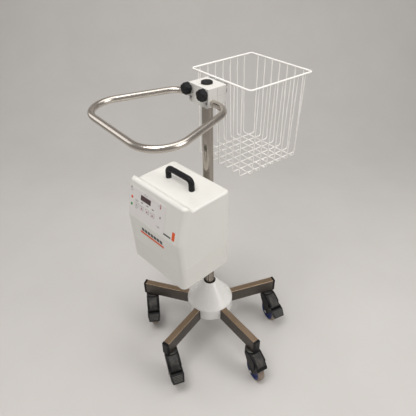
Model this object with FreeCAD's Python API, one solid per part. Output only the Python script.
import FreeCAD, Part
import math
import os
from FreeCAD import Vector as V

os.makedirs("parts", exist_ok=True)

# Forced-air patient-warming unit on a five-star mobile stand.
# Working frame: pole axis on x = y = 0, floor at z = 0, unit front towards -Y.
# out() moves every part by (OX, OY) so that the origin lies under the middle
# of the whole object's outline.

OX, OY = -45.3, 9.4

# ---------------------------------------------------------------- dimensions
# stand
POLE_R, POLE_RI = 19.0, 16.5
POLE_Z0, POLE_Z1 = 165.0, 1180.0
ARM_W, ARM_H, ARM_T = 28.0, 60.0, 2.5
ARM_Z0 = 155.5
ARM_Z1 = ARM_Z0 + ARM_H
ARM_R0, ARM_R1 = 62.0, 305.0
ARM_ANG = {"right": 353.25, "rear_right": 65.25, "rear_left": 137.25,
           "left": 209.25, "front": 281.25}
COVER_R, COVER_Z0, COVER_Z1 = 99.0, 170.0, 222.0
COVER_TOP_R, COVER_TOP_Z = 27.5, 317.0
COVER_T = 3.0
SLOT_W = 35.0

# casters
STEM_R = 284.0
TRAIL = 37.0
WHEEL_R, WHEEL_W = 50.0, 30.0
FORK_W = 56.0
CHEEK = 22.0
FORK_TOP = 150.0
CAST_ANG = {"right": -15.0, "rear_right": -17.0, "rear_left": -60.0,
            "left": -36.0, "front": -25.0}
BRAKED = ("rear_right", "left", "front")
PED_T, PED_Z = 74.0, 100.0

# clamps, ring handle and basket, turned a little about the pole
YAW = -5.17
BLK_X, BLK_Y0, BLK_Y1, BLK_SPLIT = 49.5, -35.0, 39.5, 2.5
LOW_Z0, LOW_Z1 = 1116.0, 1148.7
UP_Z0, UP_Z1 = 1149.3, 1178.5
KNOB_X, KNOB_Z = 40.0, 1163.5
KNOB_Y0, KNOB_Y1 = -42.0, -62.0
RING_Z, RING_R, RING_RI = 1132.5, 11.0, 9.4
RING_Y = -16.5
BSK_X, BSK_Y0, BSK_Y1 = 146.0, 50.0, 329.0
BSK_Z0, BSK_Z1 = 868.0, 1182.0
RIM_R, WIRE_R = 3.0, 1.9

# warming unit
UX = 145.0
U_Z0, U_ZS, U_ZC, U_Z1 = 541.0, 640.0, 744.0, 862.0
U_YB, U_YC, U_YT, U_YR = -259.0, -268.0, -240.0, -37.0
WALL = 3.0
BLOW_X, BLOW_Y, BLOW_Z = 30.0, -150.0, 592.0
HOSE_Y, HOSE_Z = -150.0, 592.0
HOSE_RI, HOSE_RO = 26.0, 30.0
KEY_X = {"standby": -90.5, "low": -61.0, "medium": -31.5, "high": -2.0}
KEY_S = 51.0
DISP_X, DISP_S, DISP_W, DISP_H = -43.5, 89.0, 55.0, 20.0
BRK_Z0, BRK_Z1 = 690.0, 750.0


# ------------------------------------------------------------------- helpers
def out(name, shape):
    s = shape.copy()
    s.translate(V(OX, OY, 0))
    if not s.isValid():
        print("INVALID", name)
    print(name, len(s.Solids), round(s.Volume / 1000.0, 2))
    s.exportStep("parts/%s.step" % name)


def box(x0, x1, y0, y1, z0, z1):
    return Part.makeBox(x1 - x0, y1 - y0, z1 - z0, V(x0, y0, z0))


def cyl(r, p, d, h):
    return Part.makeCylinder(r, h, V(*p), V(*d))


def fuse(parts):
    s = parts[0]
    if len(parts) > 1:
        s = s.fuse(parts[1:])
    return s.removeSplitter()


def turn(s, deg, centre=(0, 0, 0)):
    s = s.copy()
    s.rotate(V(*centre), V(0, 0, 1), deg)
    return s


def prism(pts, axis, a0, a1):
    """Closed polygon of 3-D points pushed along an axis."""
    w = Part.makePolygon([V(*p) for p in pts] + [V(*pts[0])])
    return Part.Face(w).extrude(V(*axis) * (a1 - a0))


def revolve(profile):
    """Profile of (r, z) pairs turned about Z."""
    w = Part.makePolygon([V(r, 0, z) for r, z in profile]
                         + [V(profile[0][0], 0, profile[0][1])])
    return Part.Face(w).revolve(V(0, 0, 0), V(0, 0, 1), 360)


def edges_along(s, axis, tol=1e-3):
    a = V(*axis)
    res = []
    for e in s.Edges:
        if len(e.Vertexes) == 2 and isinstance(e.Curve, Part.Line):
            d = (e.Vertexes[1].Point - e.Vertexes[0].Point)
            if d.Length > 1e-6 and abs(abs(d.normalize() * a) - 1) < tol:
                res.append(e)
    return res


def rrect(x0, x1, y0, y1, z, rf, rr):
    """Rounded rectangle wire at height z, corner radius rf at y0, rr at y1."""
    c = math.sqrt(0.5)
    L, A = Part.LineSegment, Part.Arc
    e = [L(V(x0 + rf, y0, z), V(x1 - rf, y0, z)),
         A(V(x1 - rf, y0, z), V(x1 - rf + rf * c, y0 + rf - rf * c, z), V(x1, y0 + rf, z)),
         L(V(x1, y0 + rf, z), V(x1, y1 - rr, z)),
         A(V(x1, y1 - rr, z), V(x1 - rr + rr * c, y1 - rr + rr * c, z), V(x1 - rr, y1, z)),
         L(V(x1 - rr, y1, z), V(x0 + rr, y1, z)),
         A(V(x0 + rr, y1, z), V(x0 + rr - rr * c, y1 - rr + rr * c, z), V(x0, y1 - rr, z)),
         L(V(x0, y1 - rr, z), V(x0, y0 + rf, z)),
         A(V(x0, y0 + rf, z), V(x0 + rf - rf * c, y0 + rf - rf * c, z), V(x0 + rf, y0, z))]
    return Part.Wire([q.toShape() for q in e])


def filleted_wire(pts, radii):
    """Straight runs joined by tangent arcs; one radius for each inner point."""
    P = [V(*p) for p in pts]
    cur = P[0]
    edges = []
    for i in range(1, len(P) - 1):
        a = (P[i - 1] - P[i]).normalize()
        b = (P[i + 1] - P[i]).normalize()
        half = math.acos(max(-1, min(1, a * b))) / 2
        d = radii[i - 1] / math.tan(half)
        p0, p1 = P[i] + a * d, P[i] + b * d
        m = (a + b).normalize()
        centre = P[i] + m * (radii[i - 1] / math.sin(half))
        mid = centre - m * radii[i - 1]
        edges.append(Part.LineSegment(cur, p0).toShape())
        edges.append(Part.Arc(p0, mid, p1).toShape())
        cur = p1
    edges.append(Part.LineSegment(cur, P[-1]).toShape())
    return Part.Wire(edges)


def tube_along(pts, radii, r):
    w = filleted_wire(pts, radii)
    d = (V(*pts[1]) - V(*pts[0])).normalize()
    c = Part.Wire([Part.makeCircle(r, V(*pts[0]), d)])
    return w.makePipeShell([c], True, False)


# ------------------------------------------------------------------ the base
def make_arm():
    s = box(ARM_R0, ARM_R1, -ARM_W / 2, ARM_W / 2, ARM_Z0, ARM_Z1)
    s = s.makeFillet(3.0, edges_along(s, (1, 0, 0)))
    t = ARM_T
    s = s.cut(box(ARM_R0 - 1, ARM_R1 + 1, -ARM_W / 2 + t, ARM_W / 2 - t, ARM_Z0 + t, ARM_Z1 - t))
    return s.cut(cyl(6.15, (STEM_R, 0, ARM_Z0 - 1), (0, 0, 1), t + 2))


arm = make_arm()
for n, a in ARM_ANG.items():
    out("arm_" + n, turn(arm, a))

caps = []
for a in ARM_ANG.values():
    c = box(ARM_R1, ARM_R1 + 11.0, -ARM_W / 2 - 0.4, ARM_W / 2 + 0.4, ARM_Z0 - 0.4, ARM_Z1 + 0.4)
    c = c.makeFillet(3.0, edges_along(c, (1, 0, 0)))
    c = c.makeChamfer(2.0, [e for e in c.Edges if e.CenterOfMass.x > ARM_R1 + 10.9])
    t = ARM_T + 0.05
    c = c.fuse(box(ARM_R1 - 8, ARM_R1 + 1, -ARM_W / 2 + t, ARM_W / 2 - t, ARM_Z0 + t, ARM_Z1 - t))
    caps.append(turn(c, a))
out("arm_end_caps", Part.makeCompound(caps))

hub = [cyl(62.0, (0, 0, 157), (0, 0, 1), 57), cyl(27.0, (0, 0, 200), (0, 0, 1), 100)]
for a in ARM_ANG.values():
    t = ARM_T + 0.1
    hub.append(turn(box(40, 92, -ARM_W / 2 + t, ARM_W / 2 - t, ARM_Z0 + t, ARM_Z1 - t), a))
hub = fuse(hub).cut(cyl(POLE_R + 0.03, (0, 0, POLE_Z0), (0, 0, 1), 200))
out("base_hub", hub)

k = (COVER_R - COVER_TOP_R) / (COVER_TOP_Z - COVER_Z1)
cover = revolve([(COVER_R - COVER_T, COVER_Z0), (COVER_R, COVER_Z0), (COVER_R, COVER_Z1 - 5),
                 (COVER_R - 1.6, COVER_Z1), (COVER_R - 5, COVER_Z1 + 4.6),
                 (COVER_TOP_R + 1.5, COVER_TOP_Z - 2), (COVER_TOP_R, COVER_TOP_Z),
                 (COVER_TOP_R - 2, COVER_TOP_Z), (COVER_TOP_R - 2, COVER_TOP_Z - 4),
                 (COVER_R - COVER_T, COVER_Z1 - 1.5)])
for a in ARM_ANG.values():
    cover = cover.cut(turn(box(70, 120, -SLOT_W / 2, SLOT_W / 2, COVER_Z0 - 5, ARM_Z1 + 1.5), a))
out("hub_cover", cover)

pole = cyl(POLE_R, (0, 0, POLE_Z0), (0, 0, 1), POLE_Z1 - POLE_Z0)
pole = pole.cut(cyl(POLE_RI, (0, 0, POLE_Z0 - 1), (0, 0, 1), POLE_Z1 - POLE_Z0 + 2))
out("pole", pole)
out("pole_end_cap", revolve([(0, POLE_Z1 - 16), (POLE_RI - 0.1, POLE_Z1 - 16), (POLE_RI - 0.1, POLE_Z1),
                             (19.0, POLE_Z1), (19.0, POLE_Z1 + 4), (17.5, POLE_Z1 + 6),
                             (14.0, POLE_Z1 + 7), (0, POLE_Z1 + 7.2)]))

# ------------------------------------------------------------------- casters
def stem():
    s = [cyl(7.0, (0, 0, 112.5), (0, 0, 1), 41),
         revolve([(0, 150.4), (25.5, 150.4), (27.5, 151.6), (27.5, 153.0), (24.0, 154.4), (16.0, 154.6), (16.0, ARM_Z0),
                  (0, ARM_Z0)]),
         cyl(6.0, (0, 0, 155), (0, 0, 1), 17)]
    nut = Part.makeCylinder(9.5, 7.5, V(0, 0, ARM_Z0 + ARM_T))
    return fuse(s + [nut])


stems = []
for n, a in ARM_ANG.items():
    s = stem()
    s.translate(V(STEM_R, 0, 0))
    stems.append(turn(s, a))
out("caster_stems", Part.makeCompound(stems))


def fork(braked):
    """Caster frame: +X trails, Y across, stem axis at x = y = 0."""
    h, c = FORK_W / 2, CHEEK
    # hood over the wheel, its trailing end round about the pedal pivot
    hood = [(-29, 147), (-26, FORK_TOP), (24, FORK_TOP), (28, 147), (37, 145), (50, 139.5), (63, 130), (74, 119), (80, 113),
            (84.4, 106), (86, 100), (84.4, 94), (80, 89.6), (73, 87), (40, 92), (0, 96), (-12, 104), (-22, 118), (-28, 132)]
    s = prism([(x, -h, z) for x, z in hood], (0, 1, 0), -h, h)
    head = revolve([(0, 90), (h, 90), (h, 141.2), (h - 1.6, 141.8), (h - 1.6, 143.2), (h, 143.8), (h, 147.5), (h - 2.5, FORK_TOP),
                    (0, FORK_TOP)])
    s = s.common(head.fuse(box(0, 100, -h, h, 80, 160)))
    # narrower cheeks down to the axle
    cheek = [(-24, 125), (-14, 100), (4, 76), (22, 45.5), (28, 39), (37, 36), (46, 39), (52, 45.5), (62, 62), (74, 84),
             (80, 90), (80, 105), (60, 125), (20, 130)]
    ck = prism([(x, -c, z) for x, z in cheek], (0, 1, 0), -c, c)
    ck = ck.fuse(cyl(11.5, (TRAIL, -c - 1.5, WHEEL_R), (0, 1, 0), 2 * c + 3))
    s = s.fuse(ck)
    if braked:                              # pockets for the pedal's ears
        for y0, y1 in ((24.2, 40), (-40, -24.2)):
            s = s.cut(box(61, 120, y0, y1, 70, 160))
        s = s.cut(cyl(3.06, (PED_T, -30, PED_Z), (0, 1, 0), 60))
    s = s.cut(cyl(WHEEL_R + 3.5, (TRAIL, -17.5, WHEEL_R), (0, 1, 0), 35))
    s = s.cut(box(TRAIL - 10, TRAIL + 40, -17.5, 17.5, 20, 60))
    s = s.cut(cyl(4.03, (TRAIL, -30, WHEEL_R), (0, 1, 0), 60))
    return s.cut(cyl(7.05, (0, 0, 102), (0, 0, 1), 60))


def wheel():
    w = WHEEL_W / 2
    R = WHEEL_R
    prof = [(4.08, -17.0), (11, -17.0), (11, -10), (33, -10), (36, -w), (R - 7, -w), (R - 3.2, -w + 2.2), (R - 0.8, -w + 7), (R, -3),
            (R, 3), (R - 0.8, w - 7), (R - 3.2, w - 2.2), (R - 7, w), (36, w), (33, 10), (11, 10), (11, 17.0), (4.08, 17.0)]
    s = revolve(prof)
    s.rotate(V(0, 0, 0), V(1, 0, 0), -90)
    s.translate(V(TRAIL, 0, WHEEL_R))
    return s


def axle():
    h = CHEEK + 1.5
    s = [cyl(4.0, (TRAIL, -h - 1, WHEEL_R), (0, 1, 0), 2 * h + 2),
         cyl(7.0, (TRAIL, h, WHEEL_R), (0, 1, 0), 3.2), cyl(7.0, (TRAIL, -h - 3.2, WHEEL_R), (0, 1, 0), 3.2)]
    return fuse(s)


def pedal():
    h = FORK_W / 2
    # plate in side view: outside the hood's round end, then out past the wheel
    plate = prism([(x, -h, z) for x, z in [(85.5, 106), (92.5, 106.5), (117, 84.5), (117.5, 80.5), (113.5, 78), (107, 79), (91, 92),
                                           (86, 97)]], (0, 1, 0), -h, h)
    for sgn in (-1, 1):                     # the tip is narrower than the top
        plate = plate.cut(prism([(93, sgn * (h + 1), 60), (130, sgn * (h + 1), 60), (130, sgn * (h - 9), 60)],
                                (0, 0, 1), 0, 70))
    plate = plate.cut(cyl(12.7, (PED_T, -40, PED_Z), (0, 1, 0), 80))
    parts = [plate]
    for sgn in (-1, 1):
        y0, y1 = (24.6, h) if sgn > 0 else (-h, -24.6)
        ear = cyl(11.5, (PED_T, y0, PED_Z), (0, 1, 0), y1 - y0)
        parts.append(ear)
        parts.append(prism([(x, y0, z) for x, z in [(76, 90), (91, 92), (90, 105.8), (80, 109.5)]], (0, 1, 0), y0, y1))
        parts.append(cyl(3.0, (PED_T, 18.6 if sgn > 0 else -25.0, PED_Z), (0, 1, 0), 6.4))
    for i in range(5):                      # grip ribs on the outer face
        t = 0.16 + i * 0.165
        x, z = 92.5 + 24.5 * t, 106.5 - 22.0 * t
        w = 22.0 - 5.0 * t
        parts.append(prism([(x - 1.2, -w, z - 1.0), (x + 0.4, -w, z + 1.3), (x + 2.4, -w, z - 0.3), (x + 1.0, -w, z - 3.0)],
                           (0, 1, 0), -w, w))
    return fuse(parts)


def place_caster(s, n):
    s = turn(s, CAST_ANG[n])
    a = math.radians(ARM_ANG[n])
    s.translate(V(STEM_R * math.cos(a), STEM_R * math.sin(a), 0))
    return s


for n in ARM_ANG:
    out("caster_fork_" + n, place_caster(fork(n in BRAKED), n))
    out("caster_wheel_" + n, place_caster(wheel(), n))
    out("caster_axle_" + n, place_caster(axle(), n))
for n in BRAKED:
    out("brake_pedal_" + n, place_caster(pedal(), n))

# --------------------------------------------- clamps, ring handle and basket
def upper(name, s):
    out(name, turn(s, YAW))


def clamp_half(y0, y1, z0, z1, bore):
    s = box(-BLK_X, BLK_X, y0, y1, z0, z1)
    return s, cyl(bore, (0, 0, z0 - 1), (0, 0, 1), z1 - z0 + 2)


s, b = clamp_half(BLK_Y0, BLK_SPLIT - 0.3, UP_Z0, UP_Z1, POLE_R + 0.06)
s = s.makeFillet(2.5, [e for e in edges_along(s, (0, 0, 1)) if e.CenterOfMass.y < -30])
s = s.cut(b)
for x in (-KNOB_X, KNOB_X):
    s = s.cut(cyl(4.5, (x, -40, KNOB_Z), (0, 1, 0), 50))
upper("clamp_upper_front", s)

s, b = clamp_half(BLK_SPLIT + 0.3, BLK_Y1, UP_Z0, UP_Z1, POLE_R + 0.06)
s = s.makeFillet(2.5, [e for e in edges_along(s, (0, 0, 1)) if e.CenterOfMass.y > 30])
s = s.cut(b)
for x in (-KNOB_X, KNOB_X):
    s = s.cut(cyl(4.05, (x, -10, KNOB_Z), (0, 1, 0), 42))
for x in (-20, 20):
    s = s.cut(cyl(2.55, (x, 26, UP_Z0 + 14), (0, 1, 0), 20))
upper("clamp_upper_rear", s)

s, b = clamp_half(BLK_Y0, BLK_SPLIT - 0.3, LOW_Z0, LOW_Z1, POLE_R + 0.02)
s = s.makeFillet(9.0, [e for e in edges_along(s, (0, 1, 0)) if e.CenterOfMass.z < LOW_Z0 + 1])
s = s.cut(b)
for sgn in (-1, 1):
    s = s.cut(cyl(RING_R + 0.03, (sgn * 23.0, RING_Y, RING_Z), (sgn, 0, 0), 40))
    s = s.cut(cyl(3.1, (sgn * KNOB_X, -40, RING_Z), (0, 1, 0), 60))
    s = s.cut(cyl(5.6, (sgn * KNOB_X, BLK_Y0 - 1, RING_Z), (0, 1, 0), 6))
upper("clamp_lower_front", s)

s, b = clamp_half(BLK_SPLIT + 0.3, BLK_Y1 - 1.0, LOW_Z0, LOW_Z1, POLE_R + 0.02)
s = s.makeFillet(9.0, [e for e in edges_along(s, (0, 1, 0)) if e.CenterOfMass.z < LOW_Z0 + 1])
s = s.cut(b)
for sgn in (-1, 1):
    s = s.cut(cyl(3.02, (sgn * KNOB_X, 0, RING_Z), (0, 1, 0), 26))
upper("clamp_lower_rear", s)

scr = []
for sgn in (-1, 1):
    h = cyl(5.2, (sgn * KNOB_X, BLK_Y0 + 1.4, RING_Z), (0, 1, 0), 3.6)
    h = h.cut(cyl(2.4, (sgn * KNOB_X, BLK_Y0 + 1.0, RING_Z), (0, 1, 0), 2.4))
    scr.append(fuse([h, cyl(3.0, (sgn * KNOB_X, BLK_Y0 + 4, RING_Z), (0, 1, 0), 54)]))
upper("clamp_screws", Part.makeCompound(scr))


def knob(z0, z1):
    """Lobed grip along -Z .. placed by the caller; z0 is the clamp side."""
    d = abs(z1 - z0)
    lobes = [cyl(15.6, (0, 0, 0), (0, 0, 1), d)]
    for i in range(5):
        a = math.radians(90 + 72 * i)
        lobes.append(cyl(6.6, (13.4 * math.cos(a), 13.4 * math.sin(a), 0), (0, 0, 1), d))
    s = fuse(lobes)
    lim = revolve([(0, 0), (17.5, 0), (20.2, 3), (20.2, d - 4), (17.0, d), (0, d)])
    return s.common(lim)


for n, x in (("left", -KNOB_X), ("right", KNOB_X)):
    k = knob(KNOB_Y0, KNOB_Y1)
    k = fuse([k, cyl(9.0, (0, 0, -6.4), (0, 0, 1), 7), cyl(4.0, (0, 0, -70), (0, 0, 1), 66)])
    k.rotate(V(0, 0, 0), V(1, 0, 0), 90)          # +Z -> -Y
    k.translate(V(x, KNOB_Y0, KNOB_Z))
    upper("knob_" + n, k)

ring_pts = [(-23.5, RING_Y, RING_Z), (-123.5, RING_Y, RING_Z), (-237, -342, RING_Z - 10), (237, -342, RING_Z - 10),
            (123.5, RING_Y, RING_Z), (23.5, RING_Y, RING_Z)]
ring_rad = [68.0, 91.0, 91.0, 68.0]
ring = tube_along(ring_pts, ring_rad, RING_R).cut(tube_along(ring_pts, ring_rad, RING_RI))
for sgn in (-1, 1):
    ring = ring.cut(cyl(3.1, (sgn * KNOB_X, -40, RING_Z), (0, 1, 0), 50))
upper("ring_handle", ring)

R = RIM_R
rim = tube_along([(0, BSK_Y0, BSK_Z1), (BSK_X, BSK_Y0, BSK_Z1), (BSK_X, BSK_Y1, BSK_Z1),
                  (-BSK_X, BSK_Y1, BSK_Z1), (-BSK_X, BSK_Y0, BSK_Z1), (0, BSK_Y0, BSK_Z1)],
                 [10.0] * 4, R)
upper("basket_rim", rim)

wires = []
NW = 8
zt = BSK_Z1 - R - 0.02
for i in range(1, NW):                      # along Y, over the front and rear faces
    x = -BSK_X + 2 * BSK_X * i / NW
    zf = BSK_Z0 + WIRE_R
    wires.append(tube_along([(x, BSK_Y0, zt), (x, BSK_Y0, zf), (x, BSK_Y1, zf), (x, BSK_Y1, zt)],
                            [9.0, 9.0], WIRE_R))
for i in range(1, NW):                      # along X, over the two side faces
    y = BSK_Y0 + (BSK_Y1 - BSK_Y0) * i / NW
    zf = BSK_Z0 + 3 * WIRE_R + 0.02
    xb = BSK_X - 11.0
    wires.append(tube_along([(-BSK_X, y, zt), (-BSK_X, y, zt - 40), (-xb, y, zf), (xb, y, zf),
                             (BSK_X, y, zt - 40), (BSK_X, y, zt)], [60.0, 9.0, 9.0, 60.0], WIRE_R))
upper("basket_wires", Part.makeCompound(wires))

zp0, zp1 = UP_Z0 + 1.0, UP_Z1
s = [box(-44, 44, BLK_Y1, BLK_Y1 + 4.5, zp0, zp1)]
for x in (-36.5, 0.0, 36.5):
    s.append(box(x - 6, x + 6, BLK_Y1 + 4, BSK_Y0 - WIRE_R, zp0, zp0 + 12))
    s.append(box(x - 6, x + 6, BLK_Y1 + 4, BSK_Y0 - WIRE_R, zp1 - 8, zp1))
s = fuse(s)
for x in (-20, 20):
    s = s.cut(cyl(2.8, (x, 30, UP_Z0 + 14), (0, 1, 0), 30))
scr = []
for x in (-20, 20):
    scr.append(fuse([cyl(2.5, (x, 28, UP_Z0 + 14), (0, 1, 0), BLK_Y1 + 5 - 28),
                     cyl(4.4, (x, BLK_Y1 + 4.5, UP_Z0 + 14), (0, 1, 0), 2.6)]))
upper("basket_bracket", Part.makeCompound([s] + scr))


# -------------------------------------------------------------- warming unit
def y_front(z):
    if z <= U_ZC:
        return U_YB + (U_YC - U_YB) * (z - U_Z0) / (U_ZC - U_Z0)
    return U_YC + (U_YT - U_YC) * (z - U_ZC) / (U_Z1 - U_ZC)


def hull_solid(z0, z1, inset=0.0, top_round=False, bottom_round=False):
    """Slab of the casing's outer form between two heights, taken in by inset."""
    zs = [z0]
    if bottom_round:
        zs = [z0, z0 + 1.2, z0 + 3.5, z0 + 8]
    if z0 < U_ZC < z1:
        zs.append(U_ZC)
    if top_round:
        zs += [z1 - 10, z1 - 4.5, z1 - 1.4, z1]
    else:
        zs.append(z1)
    ws = []
    for z in zs:
        d = inset
        if top_round and z > z1 - 9:
            d += {z1 - 4.5: 1.6, z1 - 1.4: 4.6, z1: 9.0}[z]
        if bottom_round and z < z0 + 7:
            d += {z0: 7.0, z0 + 1.2: 4.0, z0 + 3.5: 1.6}[z]
        rf, rr = 20.0 - d * 0.8, 15.0 - d * 0.8
        ws.append(rrect(-UX + d, UX - d, y_front(z) + d, U_YR - d, z, max(rf, 6), max(rr, 4)))
    return Part.makeLoft(ws, True, True)


LOCAL = FreeCAD.Matrix()
_pt = V(0, U_YT - U_YC, U_Z1 - U_ZC).normalize()
_pn = V(1, 0, 0).cross(_pt)
LOCAL.A11, LOCAL.A21, LOCAL.A31 = 1, 0, 0
LOCAL.A12, LOCAL.A22, LOCAL.A32 = _pt.x, _pt.y, _pt.z
LOCAL.A13, LOCAL.A23, LOCAL.A33 = _pn.x, _pn.y, _pn.z
LOCAL.A14, LOCAL.A24, LOCAL.A34 = 0, U_YC, U_ZC
PANEL = FreeCAD.Placement(LOCAL)


def on_panel(s):
    """From panel coordinates (x, up the panel from the crease, outwards)."""
    s = s.copy()
    s.Placement = PANEL.multiply(s.Placement)
    return s


def rbox(x0, x1, y0, y1, z0, z1, r):
    s = box(x0, x1, y0, y1, z0, z1)
    return s.makeFillet(r, edges_along(s, (0, 0, 1)))


# outer shells
up = hull_solid(U_ZS + 0.3, U_Z1, top_round=True)
up_in = hull_solid(U_ZS - 1, U_Z1 - WALL, inset=WALL, top_round=False)
lip = prism([(-UX + 12, y, z) for y, z in [(-244.0, 838), (-240.2, 861.5), (-238.6, 868.5), (-236.6, 873.4), (-233.6, 876.2),
                                            (-230.0, 877), (-226.5, 875.8), (-222.0, 872.0), (-217.0, 867.5),
                                            (-211.0, 863.8), (-204.0, 862.0), (-196.0, 860.5), (-196.0, 850)]],
            (1, 0, 0), -UX + 12, UX - 12)
up = up.fuse(lip).cut(up_in)
low = hull_solid(U_Z0, U_ZS, bottom_round=True)
low = low.cut(hull_solid(U_Z0 + WALL, U_ZS + 1, inset=WALL))

posts = [(-130, -51), (130, -51), (-130, -250), (130, -250)]
env_up = hull_solid(U_ZS + 0.3, U_Z1 - 12, inset=1.0)
env_lo = hull_solid(U_Z0 + 0.5, U_ZS, inset=1.0, bottom_round=True)
for x, y in posts:
    low = low.fuse(cyl(11, (x, y, U_Z0 + 1), (0, 0, 1), U_ZS - U_Z0 - 1).common(env_lo))
    up = up.fuse(cyl(11, (x, y, U_ZS + 0.3), (0, 0, 1), 32).common(env_up))
for x, y in posts:
    low = low.cut(cyl(2.3, (x, y, U_Z0 - 1), (0, 0, 1), 120))
    low = low.cut(cyl(4.8, (x, y, U_Z0 - 1), (0, 0, 1), 7))
    up = up.cut(cyl(2.04, (x, y, U_ZS - 1), (0, 0, 1), 27))

# front panel features
for x in (-100, 20):
    for sy in (26, 100):
        up = up.fuse(on_panel(cyl(3.5, (x, sy, -8), (0, 0, 1), 6)))
up = up.cut(on_panel(box(DISP_X - DISP_W / 2 - 0.2, DISP_X + DISP_W / 2 + 0.2,
                         DISP_S - DISP_H / 2 - 0.2, DISP_S + DISP_H / 2 + 0.2, -20, 5)))
LED = [(-118.0, 72.0), (-118.0, 44.5)]
for x, sy in LED:
    up = up.cut(on_panel(cyl(4.0, (x, sy, -7), (0, 0, 1), 20)))
for x in KEY_X.values():
    up = up.cut(on_panel(box(x - 9.3, x + 9.3, KEY_S - 6.8, KEY_S + 6.8, -7, 5)))
# carrying handle screws
H_X, H_Y, H_C = -4.0, -129.0, 60.0
for sgn in (-1, 1):
    up = up.cut(cyl(3.2, (H_X + sgn * H_C, H_Y, U_Z1 - 8), (0, 0, 1), 12))
# bracket screws through the rear wall
BRK_SCR = [(-24, 655), (24, 655), (-24, 785), (24, 785)]
for x, z in BRK_SCR:
    up = up.cut(cyl(2.7, (x, U_YR - 10, z), (0, 1, 0), 14))
out("upper_housing", up)

# lower shell: inlet, hose socket and filter openings
low = low.cut(box(-117.2, -72.8, U_YR - 6, U_YR + 1, 587.8, 612.2))
low = low.cut(cyl(HOSE_RO + 0.05, (-UX - 5, HOSE_Y, HOSE_Z), (1, 0, 0), 12))
FX0, FX1, FY0, FY1 = -35.0, 95.0, -205.0, -95.0
low = low.cut(box(FX0, FX1, FY0, FY1, U_Z0 - 1, U_Z0 + WALL + 1))
out("lower_housing", low)

ov = rbox(-132, 62, 7, 113, 0.02, 0.8, 4.0)
ov = ov.cut(box(DISP_X - DISP_W / 2, DISP_X + DISP_W / 2, DISP_S - DISP_H / 2, DISP_S + DISP_H / 2, -1, 2))
for x, sy in LED:
    ov = ov.cut(cyl(4.0, (x, sy, -1), (0, 0, 1), 3))
for x in KEY_X.values():
    ov = ov.cut(box(x - 9.3, x + 9.3, KEY_S - 6.8, KEY_S + 6.8, -1, 2))
out("control_overlay", on_panel(ov))

disp = box(DISP_X - DISP_W / 2 + 0.1, DISP_X + DISP_W / 2 - 0.1,
           DISP_S - DISP_H / 2 + 0.1, DISP_S + DISP_H / 2 - 0.1, -8, 0.3)
lamps = [cyl(3.8, (x, sy, -8), (0, 0, 1), 9.2) for x, sy in LED]
out("display_and_lamps", on_panel(Part.makeCompound([disp] + lamps)))

for n, x in KEY_X.items():
    ksol = rbox(x - 9, x + 9, KEY_S - 6.5, KEY_S + 6.5, -4, 1.5, 1.5)
    ksol = ksol.fuse(box(x - 10.5, x + 10.5, KEY_S - 8, KEY_S + 8, -4.6, -3.5)).removeSplitter()
    out("key_" + n, on_panel(ksol))

pcb = box(-128, 34, 18, 108, -9.6, -8)
pcb = pcb.fuse(box(-70, -18, 30, 42, -17.6, -9)).fuse(box(-20, 20, 60, 96, -15.6, -9)).removeSplitter()
for n, x in KEY_X.items():
    pcb = pcb.fuse(box(x - 3, x + 3, KEY_S - 3, KEY_S + 3, -8.5, -5.7))
out("control_board", on_panel(pcb.removeSplitter()))

hz = U_Z1
hnd = tube_along([(H_X - H_C, H_Y, hz), (H_X - H_C, H_Y, hz + 39.5), (H_X + H_C, H_Y, hz + 39.5),
                  (H_X + H_C, H_Y, hz)], [17.0, 17.0], 10.5)
for sgn in (-1, 1):
    hnd = hnd.cut(cyl(3.04, (H_X + sgn * H_C, H_Y, hz - 1), (0, 0, 1), 19))
out("carry_handle", hnd)

scr = []
for x, y in posts:
    scr.append(fuse([cyl(4.4, (x, y, U_Z0 + 2.0), (0, 0, 1), 4.0), cyl(2.0, (x, y, U_Z0 + 5), (0, 0, 1), 118)]))
for sgn in (-1, 1):
    x = H_X + sgn * H_C
    scr.append(fuse([cyl(5.5, (x, H_Y, U_Z1 - WALL - 4), (0, 0, 1), 4), cyl(3.0, (x, H_Y, U_Z1 - WALL - 1), (0, 0, 1), 20)]))
for x, z in BRK_SCR:
    scr.append(fuse([cyl(4.5, (x, U_YR + 6, z), (0, 1, 0), 3), cyl(2.5, (x, U_YR - 8, z), (0, 1, 0), 15)]))
out("unit_screws", Part.makeCompound(scr))

brk = [box(-35, 35, U_YR, U_YR + 6, 640, 800), box(-30, 30, U_YR + 5, 30, BRK_Z0, BRK_Z1)]
brk.append(box(-4, 4, U_YR + 5, -20, 650, BRK_Z0 + 1))
brk = fuse(brk).cut(cyl(POLE_R + 0.07, (0, 0, 600), (0, 0, 1), 250))
for x, z in BRK_SCR:
    brk = brk.cut(cyl(2.7, (x, U_YR - 1, z), (0, 1, 0), 8))
brk = brk.cut(cyl(4.05, (15, 0, 720), (1, 0, 0), 20))
out("unit_bracket", brk)

k = knob(0, 20)
k = fuse([k, cyl(9.0, (0, 0, -4), (0, 0, 1), 5), cyl(4.0, (0, 0, -15), (0, 0, 1), 14)])
k.rotate(V(0, 0, 0), V(0, 1, 0), 90)              # +Z -> +X
k.translate(V(34.6, 0, 720))
out("bracket_knob", k)

inl = box(-120, -70, U_YR, U_YR + 2.5, 585, 615).fuse(box(-117, -73, -64, U_YR + 1, 588, 612)).removeSplitter()
inl = inl.cut(box(-107.5, -82.5, -55, 0, 591.5, 608.5))
for x, z in ((-102, 597), (-95, 603), (-88, 597)):
    inl = inl.fuse(box(x - 1, x + 1, -56, -43, z - 2, z + 2))
out("power_inlet", inl.removeSplitter())

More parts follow.
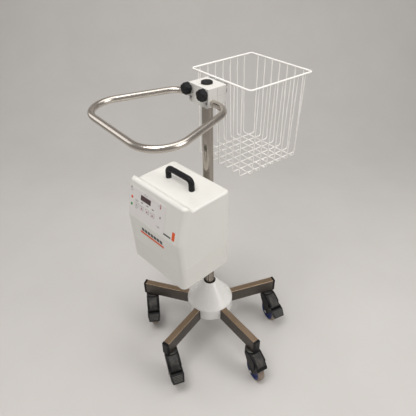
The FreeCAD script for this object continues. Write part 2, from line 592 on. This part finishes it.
hose = revolve([(HOSE_RI, 0), (HOSE_RO, 0), (HOSE_RO, 14), (38, 14), (38, 18.5), (31.5, 18.5), (31.5, 22.0),
                (HOSE_RO, 22.0), (HOSE_RO, 36.0), (HOSE_RO - 0.8, 37.0), (HOSE_RI, 37.0)])
hose.rotate(V(0, 0, 0), V(0, 1, 0), -90)          # +Z -> -X
hose.translate(V(-UX + 14.0, HOSE_Y, HOSE_Z))
out("hose_socket", hose)

fc = box(FX0 + 0.3, FX1 - 0.3, FY0 + 0.3, FY1 - 0.3, U_Z0, U_Z0 + 3.0)
for i in range(9):
    x = FX0 + 14 + i * 12.75
    fc = fc.cut(box(x - 3, x + 3, FY0 + 12, FY1 - 12, U_Z0 - 1, U_Z0 + 5))
media = box(FX0 + 5, FX1 - 5, FY0 + 5, FY1 - 5, U_Z0 + 3.0, U_Z0 + 22)
frame_ring = media.cut(box(FX0 + 9, FX1 - 9, FY0 + 9, FY1 - 9, U_Z0 + 2.0, U_Z0 + 30))
medium = box(FX0 + 9, FX1 - 9, FY0 + 9, FY1 - 9, U_Z0 + 8, U_Z0 + 20)
out("filter_cartridge", Part.makeCompound([fc.fuse(frame_ring).removeSplitter(), medium]))

# blower: scroll housing, impeller, motor, heater
zb0, zb1 = BLOW_Z - 24, BLOW_Z + 24
sc = fuse([cyl(62, (BLOW_X, BLOW_Y, zb0), (0, 0, 1), zb1 - zb0),
           box(-50, BLOW_X, BLOW_Y - 62, BLOW_Y - 8, zb0, zb1)])
sc = sc.cut(fuse([cyl(59.5, (BLOW_X, BLOW_Y, zb0 + 2.5), (0, 0, 1), zb1 - zb0 - 5),
                  box(-51, BLOW_X, BLOW_Y - 59.5, BLOW_Y - 10.5, zb0 + 2.5, zb1 - 2.5)]))
sc = sc.cut(cyl(30, (BLOW_X, BLOW_Y, zb0 - 1), (0, 0, 1), 5)).cut(cyl(5, (BLOW_X, BLOW_Y, zb1 - 4), (0, 0, 1), 6))
out("blower_housing", sc)

imp = [cyl(50, (BLOW_X, BLOW_Y, zb1 - 9), (0, 0, 1), 2.0), cyl(8, (BLOW_X, BLOW_Y, zb0 + 8), (0, 0, 1), 33.5)]
ringp = cyl(50, (BLOW_X, BLOW_Y, zb0 + 6), (0, 0, 1), 2.0).cut(cyl(33, (BLOW_X, BLOW_Y, zb0 + 5), (0, 0, 1), 4))
imp.append(ringp)
for i in range(16):
    bl = box(33.5, 49.5, -0.9, 0.9, zb0 + 7, zb1 - 8)
    bl.rotate(V(33.5, 0, 0), V(0, 0, 1), 32)
    bl = bl.common(cyl(49.8, (0, 0, zb0), (0, 0, 1), 60))
    bl = turn(bl, i * 22.5)
    bl.translate(V(BLOW_X, BLOW_Y, 0))
    imp.append(bl)
imp.append(cyl(3.0, (BLOW_X, BLOW_Y, zb1 - 10), (0, 0, 1), 46))
out("impeller", fuse(imp))

mot = fuse([cyl(33, (BLOW_X, BLOW_Y, zb1), (0, 0, 1), 44), cyl(12, (BLOW_X, BLOW_Y, zb1 + 43), (0, 0, 1), 6)])
out("blower_motor", mot.cut(cyl(3.05, (BLOW_X, BLOW_Y, zb1 - 1), (0, 0, 1), 38)))

ht = box(-112, -50, BLOW_Y - 62, BLOW_Y - 8 + 40, zb0, zb1)
ht = ht.cut(box(-109.5, -49, BLOW_Y - 59.5, BLOW_Y + 29.5, zb0 + 2.5, zb1 - 2.5))
ht = ht.fuse(box(-52.5, -50, BLOW_Y - 8, BLOW_Y + 32, zb0, zb1))
ht = ht.cut(cyl(27, (-114, HOSE_Y, HOSE_Z), (1, 0, 0), 5))
ht = ht.fuse(cyl(29, (-131, HOSE_Y, HOSE_Z), (1, 0, 0), 19.5).cut(cyl(26.5, (-132, HOSE_Y, HOSE_Z), (1, 0, 0), 23)))
for i in range(5):
    y = BLOW_Y - 52 + i * 9
    ht = ht.fuse(box(-98, -64, y - 0.8, y + 0.8, zb0 + 2, zb1 - 2))
out("heater", ht.removeSplitter())
